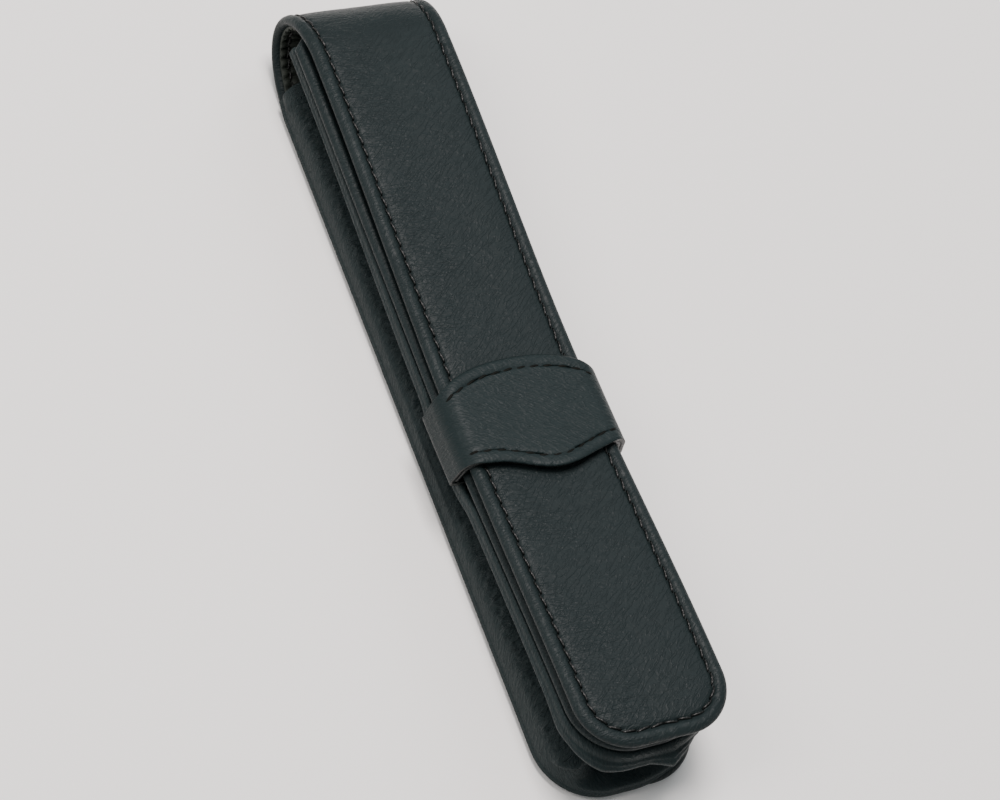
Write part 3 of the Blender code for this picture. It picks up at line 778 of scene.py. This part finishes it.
# ==== Front panel ====
# A second board-stiffened panel of the same calf lies under the flap. Its edge is turned in
# all round and the mouth end is nearly square; the flap hides all but its rolled rim.
FRONT_HALF = 15.9 * MM
FRONT_TIP = 84.8 * MM
FRONT_CORNER = 11.0 * MM
FRONT_HEM = 3.2 * MM
MOUTH_CORNER = 3.3 * MM
MOUTH_Y = 79.8 * MM
MOUTH_FROM = 2 * MM               # from here to its mouth the panel sinks and widens
MOUTH_RISE = 58 * MM
MOUTH_DROP = 0.55 * MM
MOUTH_SPREAD = 0.04
TIP_SKEW = 1.3 * MM               # its rounded end is cut a little out of square
FLAP_GAP = 0.35 * MM
FRONT_RUN = MOUTH_Y + FRONT_TIP


def near_mouth(y):
    """A ramp from 0 in the middle of the panel to 1 near its mouth."""
    return smooth((y - MOUTH_FROM) / MOUTH_RISE)


def tip_skew(x, y):
    """How far the rounded end is drawn in on its right."""
    return TIP_SKEW * smooth(x / (9 * MM)) * smooth((-y - 70 * MM) / (10 * MM))


def front_place(x, along, depth):
    """Places on the front panel, counted along from its mouth, with depth from its outside."""
    x, along, depth = np.broadcast_arrays(x, along, depth)
    y = MOUTH_Y - along
    x = x * (1 + MOUTH_SPREAD * near_mouth(y))
    y = y + tip_skew(x, y)
    top = flap_height(y) - MOUTH_DROP * near_mouth(y) - STRAP_THICK - FLAP_GAP
    return np.stack([x, y, top - depth], axis=-1)


front_side = np.linspace(MOUTH_CORNER, FRONT_RUN - FRONT_CORNER, 600)[1:-1]
front_rims = rim_rows(
    end_samples(FRONT_HALF, MOUTH_CORNER), front_side, np.full(len(front_side), FRONT_HALF),
    end_samples(FRONT_HALF, FRONT_CORNER), FRONT_RUN,
)
front_skin = panel(
    "front_leather", front_rims, front_place, strap_calf, turned_rings(FRONT_HEM), calf_relief,
    rounded_start=True, rounded_end=True,
)
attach(front_skin, "case")
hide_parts("front_leather")


def front_lining_place(x, along, depth):
    """Places on the front panel's inside."""
    return front_place(x, along, STRAP_THICK - depth)


def plain_relief(x, along):
    """Faint swells of a lining glued to a flat board."""
    return MM * 0.03 * hand_noise(x, along, 6.0, 2.0)


on_hem = lining_rings()[0] < FRONT_HEM
front_lining = panel(
    "front_lining", front_rims, front_lining_place, lining_calf,
    tuple(values[on_hem] for values in lining_rings()), plain_relief, crest=0.0, puff=0.0,
    rounded_start=True, rounded_end=True, thickness=LINING_SKIN,
)
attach(front_lining, "case")
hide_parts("front_lining")
front_starts = range(0, len(front_rims[0]) - 1, ROWS_PER_STITCH)
runs = [(front_rims, side, front_starts) for side in (1, -1)]
front_stitches = stitches("front_stitches", runs, front_place, SEAM_INSET)
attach(front_stitches, "case")
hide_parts("front_thread")


# ==== Gusset ====
# One strip of thin soft calf round both sides and the rounded end, folded inwards along its
# middle like a bellows and puckered there. Its lower edge is glued down inside the back and
# laps over the back's edge as a narrow apron; its upper edge is sewn under the front panel.
GUSSET_HALF = 16.4 * MM
GUSSET_TIP = 85.6 * MM
GUSSET_MOUTH = 78.0 * MM
GUSSET_CORNER = 11.5 * MM
GUSSET_SKIN = 0.55 * MM
GUSSET_ROW = 0.42 * MM
VALLEY = 6.6 * MM
FLANGE = 1.9 * MM
FLOOR_GLUE = 0.15 * MM
UNDER_FRONT = 0.3 * MM
KEEPER_Y = -15.9 * MM
TUCK_DIP = 1.4 * MM               # the keeper's tucked ends press the gusset down
TUCK_HALF = 7 * MM
MOUTH_HEM = 3.6 * MM
MOUTH_CUT = 4.0 * MM
TIP_SUNK = 0.9 * MM
WALL_LEVEL = 8                    # the section's corner where the apron has turned up

# Calf split thin and milled until it drapes: soft creases, with a glint on their crests. Its tone is
# painted a shade lighter than the strap's calf, to lift the shade that falls on its sideways, tucked-in
# walls.
gusset_calf = leather("thin_creased_calf", "1C2627", "232C2D", 0.5, 0.018, 0.15, 0.48, 0.12)


def gusset_heights(y):
    """The gusset's lowest and highest level, on the back panel and under the front one."""
    round_fold = np.clip((y - FOLD_Y) / (FOLD_REACH - STRAP_THICK), 0, 0.98)
    floor = FOLD_RISE - (FOLD_RISE - STRAP_THICK) * np.sqrt(1 - round_fold ** 2) + FLOOR_GLUE
    dip = TUCK_DIP * smooth(1 - (np.abs(y - KEEPER_Y) - TUCK_HALF) / TUCK_HALF)
    top = flap_height(y) - MOUTH_DROP * near_mouth(y) - 2 * STRAP_THICK - FLAP_GAP
    return floor, top - UNDER_FRONT - dip


gusset_end = end_samples(GUSSET_HALF, GUSSET_CORNER)
GUSSET_RUN = GUSSET_MOUTH + GUSSET_TIP
gusset_side = np.linspace(0, GUSSET_RUN - GUSSET_CORNER, 800)[:-1]
half_rim = np.array([
    np.concatenate([np.full(len(gusset_side), -GUSSET_HALF), gusset_end[0][::-1]]),
    np.concatenate([GUSSET_MOUTH - gusset_side, gusset_end[1][::-1] - GUSSET_TIP]),
    np.concatenate([np.ones(len(gusset_side)), gusset_end[2][::-1]]),
    np.concatenate([np.zeros(len(gusset_side)), gusset_end[3][::-1]]),
])
half_run = run_along(half_rim[0], half_rim[1])
rows = np.linspace(0, half_run[-1], round(half_run[-1] / GUSSET_ROW) + 1)
rim = np.array([np.interp(rows, half_run, values) for values in half_rim])
other = rim[:, -2::-1] * np.array([[-1], [1], [-1], [1]])
rim = np.concatenate([rim, other], axis=1)
rim_run = np.concatenate([rows, 2 * half_run[-1] - rows[-2::-1]])
from_tip = rim_run - half_run[-1]
floor, top = (heights / MM for heights in gusset_heights(rim[1]))
middle = (floor + top) / 2
rise = middle - floor

# Round the end the lower half caves in, most on the right, and leaves a fold at its corner
corner_at = (math.pi / 2) * GUSSET_CORNER + GUSSET_HALF - GUSSET_CORNER
hollow = smooth((from_tip + corner_at * 0.62) / (6 * MM))
hollow = hollow * smooth((corner_at * 0.95 - from_tip) / (7 * MM))
# Gathers stand out round the end, each at its own place from the tip and by its own height
pleats = np.interp(
    from_tip / MM,
    (-60, -25, -18, -13.3, -10.7, -7.5, -4.7, -1.6, 0.5, 3.0, 5.0, 8.8, 12.0, 17.0, 25.0),
    (0.0, 0.3, 0.4, 1.25, 1.7, 1.25, 1.0, 1.0, 1.6, 2.8, 1.8, 0.0, -0.4, -0.3, 0.0),
)
sunk = TIP_SUNK / MM * smooth((corner_at * 1.25 - np.abs(from_tip)) / (9 * MM))
band = (FLANGE - 0.75 * MOUTH_DROP * near_mouth(rim[1])) / MM

# Inset and height of the section's corners at each row, in mm: from the floor inside, out
# and down over the back's edge, up the wall, into the valley and out under the flange
levels = [
    (4.6, floor), (2.6, floor), (0.95, floor), (0.2, floor - 0.45),
    (-0.22, floor - 1.1), (-0.34, floor - 1.8), (-0.52, floor - 1.8), (-0.58, floor - 1.1),
    (-0.45, floor - 0.2),
    (-0.28, floor + 1.0 - 0.3 * hollow),
    (-0.05 + 2.0 * hollow, floor + 2.0 - 1.1 * hollow),
    (0.3 + 5.4 * hollow, floor + (0.48 - 0.28 * hollow) * rise),
    (1.2 + 8.6 * hollow, floor + (0.70 - 0.38 * hollow) * rise),
    (2.9 + 8.6 * hollow, floor + (0.90 - 0.30 * hollow) * rise),
    (5.2 + 6.4 * hollow, floor + (0.98 - 0.14 * hollow) * rise),
    (VALLEY / MM + 4.8 * hollow, middle),
    (5.3 + 4.6 * hollow, middle + 0.35),
    (3.4 + 3.4 * hollow, middle + 1.8 + 0.8 * hollow),
    (FLANGE / MM + 0.3 + 1.2 * hollow, top - band - sunk - 0.6 + 0.3 * hollow),
    (0.9 - 0.9 * pleats, top - band - sunk - 0.05 - 0.25 * pleats),
    (-0.05 - pleats, top - band - sunk + 0.10 - 0.3 * pleats),
    (-0.22 - 0.95 * pleats, top - 0.74 * band - 0.75 * sunk),
    (-0.18 - 0.62 * pleats, top - 0.56 * band - 0.60 * sunk),
    (-0.10 - 0.58 * pleats, top - 0.38 * band - 0.50 * sunk),
    (-0.25 * pleats, top - 0.28 * band - 0.35 * sunk),
    (0.02 - 0.20 * pleats, top - 0.08 * band - 0.25 * sunk),
    (0.12 - 0.10 * pleats, top + 0.45 - 0.1 * sunk),
    (0.45, top + 0.85), (0.95, top + 0.95), (1.5, top + 0.75), (1.8, top),
    (2.6, top), (4.6, top),
]
section = MM * np.array([
    [np.broadcast_to(inset, rim_run.shape), np.broadcast_to(height, rim_run.shape)]
    for inset, height in levels
])


def rounded_section(corners, passes):
    """Chaikin's corner cutting along the section, keeping its two ends."""
    for _ in range(passes):
        near = corners[:-1] * 0.75 + corners[1:] * 0.25
        far = corners[:-1] * 0.25 + corners[1:] * 0.75
        between = np.stack([near, far], axis=1).reshape((-1,) + corners.shape[1:])
        corners = np.concatenate([corners[:1], between[1:-1], corners[-1:]])
    return corners


# Two passes put four rings in place of each corner
section = rounded_section(section, 2)
steps = np.hypot(*np.moveaxis(np.diff(section, axis=0), 1, 0))
reach = np.concatenate([np.zeros((1, len(rim_run))), np.cumsum(steps, axis=0)])
wall_start = reach[4 * WALL_LEVEL - 2]
share = 0.2 + 0.8 * (reach - wall_start) / (reach[-1] - wall_start)
slope = np.gradient(section, axis=0)
slope /= np.linalg.norm(slope, axis=1)[:, None, :]
out_inset, out_height = -slope[:, 1], slope[:, 0]

# Puckers: short ridges up and down the strip, deeper towards the valley of the fold
run_grid = np.broadcast_to(rim_run, reach.shape)
slant_run = run_grid + 0.35 * reach
pucker = hand_noise(slant_run * 2.6, reach * 0.9, 3.2, 4.0)
fine = hand_noise(slant_run * 2.2 + 0.4 * reach, reach * 1.4, 1.5, 9.0)
long_swell = hand_noise(run_grid, reach, 14.0, 31.0)
VALLEY_FROM = 0.285
VALLEY_TO = 0.58
valley_share = smooth((share - VALLEY_FROM) / 0.07) * smooth((VALLEY_TO - share) / 0.10)
lower = smooth((share - 0.20) / 0.12) * smooth((0.74 - share) / 0.06)
height_now = lower * (0.06 * long_swell + (0.03 + 0.34 * valley_share) * pucker
                      + 0.36 * valley_share * fine) * MM
stretched_end = np.exp(-((from_tip / corner_at) ** 4))
height_now *= 1 - 0.75 * stretched_end * (share < 0.46)

# A flat hem at both mouth ends, two layers thick
HEM_PROUD = 0.38 * MM
mouth_gap = np.minimum(rim_run, 2 * half_run[-1] - rim_run)
hem_band = smooth((MOUTH_HEM - mouth_gap) / (0.5 * MM)) * smooth((share - 0.2) / 0.05)
hem_band = hem_band * smooth((0.72 - share) / 0.05)
height_now = height_now * smooth((mouth_gap - MOUTH_HEM) / (2 * MM)) + HEM_PROUD * hem_band

# One sharp crease climbs from the left corner into the hollow
CREASE_HIGH = 0.9 * MM
crease_x = (from_tip + corner_at * 0.80) / (9 * MM)
above = share - VALLEY_FROM - 0.12 * crease_x
crease = smooth((above + 0.012) / 0.014) * smooth((0.09 - above) / 0.09)
crease = crease * smooth((0.6 - np.abs(crease_x - 0.5)) / 0.25)
height_now += CREASE_HIGH * crease

inset_now = section[:, 0] + out_inset * height_now
height_at = section[:, 1] + out_height * height_now
# The lower half's mouth is cut back from the fold
set_back = MOUTH_CUT * smooth((0.60 - share) / 0.14) * smooth((30 * MM - mouth_gap) / (30 * MM))
points = np.stack([
    rim[0] + rim[2] * inset_now,
    rim[1] + rim[3] * inset_now - set_back + tip_skew(rim[0], rim[1]),
    height_at,
], axis=-1)


def grid_faces(columns, rows):
    """Four-sided faces between points laid out in columns of rows."""
    starts = [column * rows + row for column in range(columns - 1) for row in range(rows - 1)]
    return [(at, at + rows, at + rows + 1, at + 1) for at in starts]


gusset = link_mesh("gusset_leather", points.reshape(-1, 3), grid_faces(*reach.shape), gusset_calf)
gusset.data.update()
left_side = Vector((-GUSSET_HALF, 0, 5 * MM))
side_face = min(gusset.data.polygons, key=lambda face: (face.center - left_side).length)
if side_face.normal.x > 0:
    gusset.data.flip_normals()
set_plan(gusset, np.stack([reach, run_grid], axis=-1).reshape(-1, 2) / MM)
set_wear(gusset, 0.0, (0.15 + valley_share * lower).reshape(-1))
thicken(gusset, GUSSET_SKIN)
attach(gusset, "case")
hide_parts("gusset_leather")


# ==== Keeper ====
# A wide band of smoother calf over the flap, longest over its middle, backed with lining
# leather. Its edges are cut, not turned, and painted black; its ends are tucked between the
# front panel and the gusset and sewn in there.
KEEPER_OUT = 1.0 * MM
KEEPER_IN = 0.7 * MM
KEEPER_CLEAR = 0.2 * MM
KEEPER_LIFT = 0.45 * MM
KEEPER_WALL = FRONT_HALF + KEEPER_CLEAR
KEEPER_BEND = 2.9 * MM
KEEPER_TUCK = 4.5 * MM
KEEPER_FLARE = 0.55 * MM
KEEPER_SEAM = 2.1 * MM
KEEPER_DIP = 0.30 * MM
KEEPER_THREAD = 0.27 * MM
KEEPER_ROWS = 60
WALL_LOW = 0.45 * MM

# Finer-grained calf, plated smooth: an even sheen with a brighter line along each bend
keeper_calf = leather("smooth_black_calf", "192223", "1E2829", 0.6, 0.010, 0.070, 0.44, 0.12)
# Water-based paint over cut fibres: dry, dark and slightly rough
edge_paint, tree, shader = new_material("black_edge_paint")
place = add_node(tree, "TexCoord").outputs["Object"]
rough = add_node(tree, "TexNoise", {"Vector": place, "Scale": 1800.0, "Detail": 3.0})
bump = add_node(tree, "Bump", {
    "Height": rough.outputs["Fac"], "Distance": 0.12 * MM, "Strength": 0.8})
set_inputs(tree, shader, {
    "Base Color": linear("1F2322"), "Roughness": 0.5, "Normal": bump.outputs[0]})


def keeper_edges(x):
    """The band's upper edge, an arch, and its lower one, drawn down to a blunt point."""
    x_mm = x / MM
    upper = -2.4 - 4.3 * (np.abs(x_mm + 0.5) / 16) ** 2.4
    lower = -22.4 - 3.9 * np.exp(-((x_mm - 2) / 8.5) ** 2) - 0.03 * (x_mm + 14)
    return upper * MM, lower * MM


def keeper_path(clear, tuck):
    """The band's inside from left to right: x, height, and 1 where that is over the flap."""
    wall = KEEPER_WALL + clear
    bend = KEEPER_BEND + clear
    level = KEEPER_LIFT + clear
    path = []
    if tuck:
        for share in np.linspace(0, 1, 6):
            path.append((-wall + KEEPER_TUCK * (1 - share) + 0.5 * MM, -0.15 * MM, 0.0))
        path.append((-wall - 0.7 * KEEPER_FLARE, -0.02 * MM, 0.0))
    path.append((-wall - KEEPER_FLARE, WALL_LOW, 0.0))
    for share in np.linspace(0.12, 0.88, 6):
        height = (1 - share) * WALL_LOW + share * (level - bend)
        path.append((-wall - KEEPER_FLARE * (1 - share), height, share))
    for angle in np.linspace(0, math.pi / 2, 10):
        path.append((-wall + bend - bend * math.cos(angle), level - bend + bend * math.sin(angle), 1.0))
    for share in np.linspace(0, 1, 26)[1:]:
        path.append(((-wall + bend) * (1 - share), level, 1.0))
    left = np.array(path)
    right = left[-2::-1] * np.array([-1, 1, 1])
    return np.concatenate([left, right])


def keeper_band(name, clear, thickness, mat, outer):
    """One layer of the band; the outer one is tucked in and drawn down along its seams."""
    path = keeper_path(clear, outer)
    upper, lower = keeper_edges(path[:, 0])
    rows = np.linspace(0.035, 0.965, KEEPER_ROWS - 6)
    across = np.concatenate([[0, 0.008, 0.02], rows, [0.98, 0.992, 1]])
    y = lower[:, None] + (upper - lower)[:, None] * across[None, :]
    x = np.broadcast_to(path[:, :1], y.shape)
    over = path[:, 2:]
    base = over * flap_height(y) + (1 - over) * (flap_height(y) - 2 * STRAP_THICK - FLAP_GAP)
    height = path[:, 1:2] + base
    from_low, from_high = y - lower[:, None], upper[:, None] - y
    on_top = smooth((over - 0.9) / 0.1) * smooth((KEEPER_WALL - np.abs(x)) / (4 * MM))
    # The lower edge lifts off the flap at its point and once more near its left
    lip = 0.75 * np.exp(-((x / MM - 3.5) / 5.5) ** 2) + 0.25 * np.exp(-((x / MM + 9.5) / 3.5) ** 2)
    height = height + on_top * lip * MM * np.exp(-from_low / (3.2 * MM))
    height = height + on_top * 0.18 * MM * np.exp(-from_high / (2.5 * MM))
    soft = hand_noise(x + 0.5 * y, y, 6.0, 12.0) + 0.5 * hand_noise(x - 0.8 * y, y, 3.0, 2.0)
    height = height + on_top * 0.07 * MM * soft
    if outer:
        seams = np.exp(-((from_low - KEEPER_SEAM) / (0.42 * MM)) ** 2)
        seams = seams + np.exp(-((from_high - KEEPER_SEAM) / (0.42 * MM)) ** 2)
        edge = np.exp(-np.minimum(from_low, from_high) / (0.28 * MM))
        height = height - on_top * KEEPER_DIP * seams - on_top * 0.25 * MM * edge
    points = np.stack([x, y, height], axis=-1)
    obj = link_mesh(name, points.reshape(-1, 3), grid_faces(*y.shape), mat)
    obj.data.materials.append(edge_paint)
    run = run_along(path[:, 0], height[:, 10])
    plan = np.stack([np.broadcast_to(run[:, None], y.shape), y], axis=-1)
    set_plan(obj, plan.reshape(-1, 2) / MM)
    bend_wear = np.exp(-((np.abs(x) - KEEPER_WALL + 0.6 * MM) / (1.6 * MM)) ** 2)
    set_wear(obj, (0.2 * bend_wear).reshape(-1), 0.45)
    solidify = obj.modifiers.new("thickness", "SOLIDIFY")
    solidify.thickness = thickness
    solidify.offset = 1.0
    solidify.use_even_offset = True
    solidify.material_offset_rim = 1
    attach(obj, "case")
    return obj, x, y, height


KEEPER_GLUE = 0.05 * MM
keeper_skin, band_x, band_y, band_z = keeper_band(
    "keeper_leather", KEEPER_IN + KEEPER_GLUE, KEEPER_OUT, keeper_calf, True)
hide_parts("keeper_leather")
keeper_back = keeper_band("keeper_lining", 0.0, KEEPER_IN, lining_calf, False)[0]
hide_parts("keeper_lining")

# The same polyester thread without wax: dead black, with no glint
dull_thread, tree, shader = new_material("unwaxed_black_thread")
set_inputs(tree, shader, {
    "Base Color": linear("080A07"), "Roughness": 0.65, "Specular IOR Level": 0.1})


def keeper_stitches(name, from_upper):
    """A row of stitches that follows one of the band's curved edges over the flap."""
    half = KEEPER_WALL + 0.1 * MM
    x = np.linspace(-half, half, 400)
    upper, lower = keeper_edges(x)
    seam_y = upper - KEEPER_SEAM if from_upper else lower + KEEPER_SEAM
    run = run_along(x, seam_y)
    count = round(run[-1] / STITCH_PITCH)
    at = np.linspace(0, run[-1], count * ROWS_PER_STITCH + 1)
    rims = (np.interp(at, run, x), np.interp(at, run, seam_y), np.zeros(len(at)), np.ones(len(at)))
    left_most, right_most = int(np.argmin(band_x[:, 0])), int(np.argmax(band_x[:, 0]))

    def band_place(px, py, depth):
        """Places on the band's face, with depth from its outside."""
        px, py, depth = np.broadcast_arrays(px, py, depth)
        over = np.arange(left_most, right_most + 1)
        columns = np.interp(px, band_x[over, 0], over)
        out = []
        spots = zip(*(np.ravel(values) for values in (columns, px, py, depth)))
        for column, x_now, y_now, deep in spots:
            near = min(int(column), right_most - 1)
            part = column - near
            z_near = np.interp(y_now, band_y[near], band_z[near])
            z_far = np.interp(y_now, band_y[near + 1], band_z[near + 1])
            z_now = z_near * (1 - part) + z_far * part
            out.append((x_now, y_now, z_now + KEEPER_OUT - deep))
        return np.array(out).reshape(px.shape + (3,))

    starts = range(0, len(at) - 1, ROWS_PER_STITCH)
    return stitches(name, [(rims, 1, starts)], band_place, 0.0,
                    high=-0.02 * MM, radius=KEEPER_THREAD)


for name, from_upper in (("keeper_thread_upper", True), ("keeper_thread_lower", False)):
    row = keeper_stitches(name, from_upper)
    row.data.materials[0] = dull_thread
    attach(row, "case")
    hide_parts(name)


# ==== Boards ====
# Three boards stiffen the back, the flap and the front. They are cut from leather fibre board
# and wrapped inside their leathers, so none of them shows on the finished case.

# Pressed shreds of leather: a dry grey face with brown and pale flecks
fibre_board, tree, shader = new_material("grey_fibre_board")
place = add_node(tree, "TexCoord").outputs["Object"]
flecks = add_node(tree, "TexNoise", {"Vector": place, "Scale": 900.0, "Detail": 4.0})
shade = add_node(tree, "Mix", {
    0: flecks.outputs["Fac"], 6: linear("6E675C"), 7: linear("8C8476")}, data_type="RGBA")
set_inputs(tree, shader, {"Base Color": shade.outputs[2], "Roughness": 0.9})
for board in ("back_board", "flap_board", "front_board"):
    frame["nodes"][board].material_slots[0].material = fibre_board
